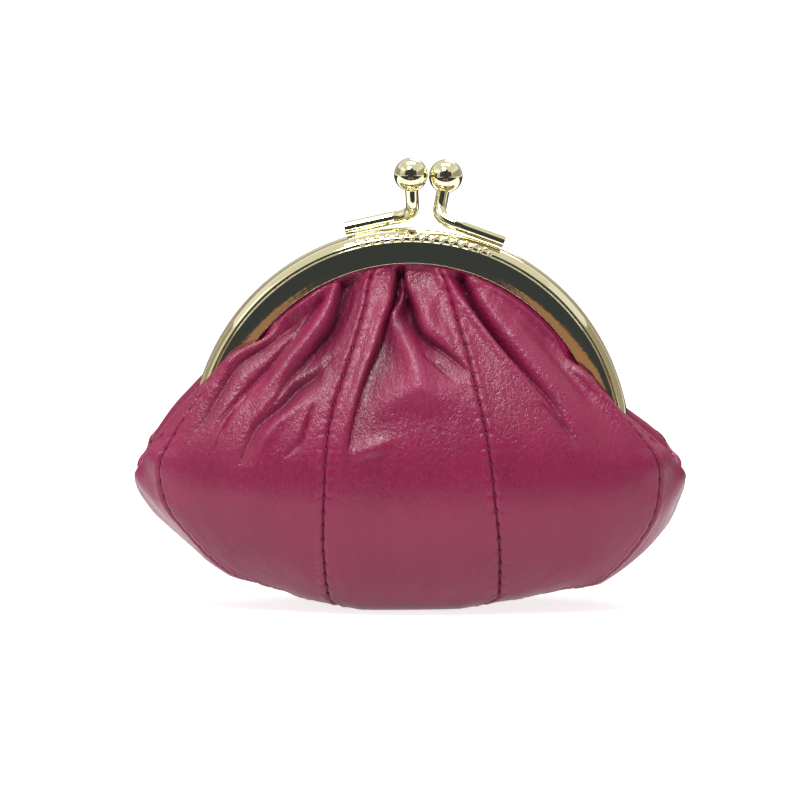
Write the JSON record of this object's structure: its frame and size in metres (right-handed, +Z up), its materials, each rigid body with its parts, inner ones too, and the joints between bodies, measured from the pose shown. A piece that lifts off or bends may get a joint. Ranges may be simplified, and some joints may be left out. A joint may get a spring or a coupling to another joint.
{
  "type": "coin purse",
  "caption": "Soft leather coin purse gathered into an arched metal frame whose halves swing apart and close with a ball kiss lock.",
  "frame": {"origin": "on the surface that the purse stands on, below the middle of the bag", "axes": "+Z up, the front faces -Y, +X is to the right seen from the front"},
  "size_m": [0.11, 0.048, 0.09],
  "materials": {
    "gold": "polished pale gold plating",
    "leather": "semi-gloss soft nappa",
    "lining": "matt woven",
    "thread": "matt twisted",
    "paper": "matt twisted paper"
  },
  "bodies": {
    "bag": {"front_centre_panel": "leather", "front_left_panel": "leather", "front_right_panel": "leather", "rear_centre_panel": "leather", "rear_left_panel": "leather", "rear_right_panel": "leather", "left_gusset": "leather", "right_gusset": "leather", "front_lining": "lining", "rear_lining": "lining", "front_left_seam_thread": "thread", "front_right_seam_thread": "thread", "rear_left_seam_thread": "thread", "rear_right_seam_thread": "thread", "left_gusset_thread": "thread", "right_gusset_thread": "thread", "base_seam_thread": "thread", "left_hinge_rivet": "gold", "right_hinge_rivet": "gold"},
    "front_half": {"front_frame": "gold", "front_clasp_arm": "gold", "front_clasp_ball": "gold", "front_paper_cord": "paper"},
    "rear_half": {"rear_frame": "gold", "rear_clasp_arm": "gold", "rear_clasp_ball": "gold", "rear_paper_cord": "paper"}
  },
  "joints": [
    {"name": "front_hinge", "type": "hinge", "parent": "bag", "child": "front_half", "pos_m": [0, 0, 0.0318], "axis": [0.9978, 0, -0.0663], "range_deg": [0, 40], "deforming": ["front_centre_panel", "front_left_panel", "front_right_panel", "rear_centre_panel", "rear_left_panel", "rear_right_panel", "left_gusset", "right_gusset", "front_lining", "rear_lining", "front_left_seam_thread", "front_right_seam_thread", "rear_left_seam_thread", "rear_right_seam_thread", "left_gusset_thread", "right_gusset_thread", "base_seam_thread"]},
    {"name": "rear_hinge", "type": "hinge", "parent": "bag", "child": "rear_half", "pos_m": [0, 0, 0.0318], "axis": [-0.9978, 0, 0.0663], "range_deg": [0, 40]}
  ],
  "couplings": [
    {"joint": "rear_hinge", "follows": "front_hinge", "ratio": 1}
  ]
}
